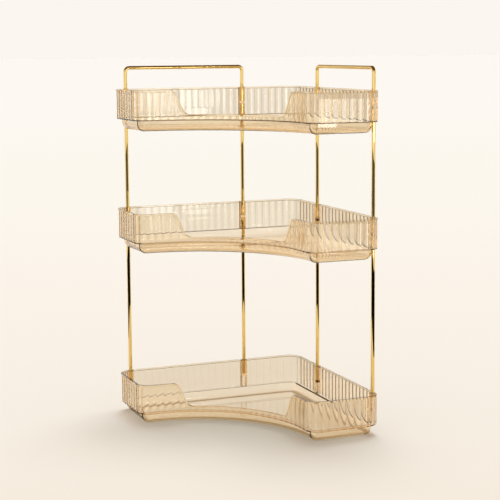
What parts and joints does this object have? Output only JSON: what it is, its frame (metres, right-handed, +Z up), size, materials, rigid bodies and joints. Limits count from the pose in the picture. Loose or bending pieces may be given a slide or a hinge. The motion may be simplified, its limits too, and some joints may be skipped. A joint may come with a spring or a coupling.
{
  "type": "corner counter organizer",
  "caption": "Tiered corner organizer: clear amber fluted trays with a low curved front lip, slim gold poles between the tiers and wire handles on top.",
  "frame": {"origin": "middle of the trays' square outline, on the surface that the organizer stands on", "axes": "+Z up; the straight back walls face +X and +Y, and the concave open front faces -X -Y"},
  "size_m": [0.241, 0.241, 0.4208],
  "materials": {
    "amber_clear": "clear amber moulding",
    "gold": "polished gold plate"
  },
  "bodies": {
    "base_tier": {"bottom_tray": "amber_clear", "lower_pole_left_end": "gold", "lower_pole_left_inner": "gold", "lower_pole_right_inner": "gold", "lower_pole_right_end": "gold"},
    "middle_tier": {"middle_tray": "amber_clear", "upper_pole_left_end": "gold", "upper_pole_left_inner": "gold", "upper_pole_right_inner": "gold", "upper_pole_right_end": "gold"},
    "top_tier": {"top_tray": "amber_clear"},
    "left_carry_handle": {"left_handle": "gold"},
    "right_carry_handle": {"right_handle": "gold"}
  },
  "joints": [
    {"name": "middle_tier_lift", "type": "slide", "parent": "base_tier", "child": "middle_tier", "axis": [0, 0, 1], "range_m": [0, 0.025]},
    {"name": "top_tier_lift", "type": "slide", "parent": "middle_tier", "child": "top_tier", "axis": [0, 0, 1], "range_m": [0, 0.025]},
    {"name": "left_handle_pull", "type": "slide", "parent": "top_tier", "child": "left_carry_handle", "axis": [0, 0, 1], "range_m": [0, 0.015]},
    {"name": "right_handle_pull", "type": "slide", "parent": "top_tier", "child": "right_carry_handle", "axis": [0, 0, 1], "range_m": [0, 0.015]}
  ]
}
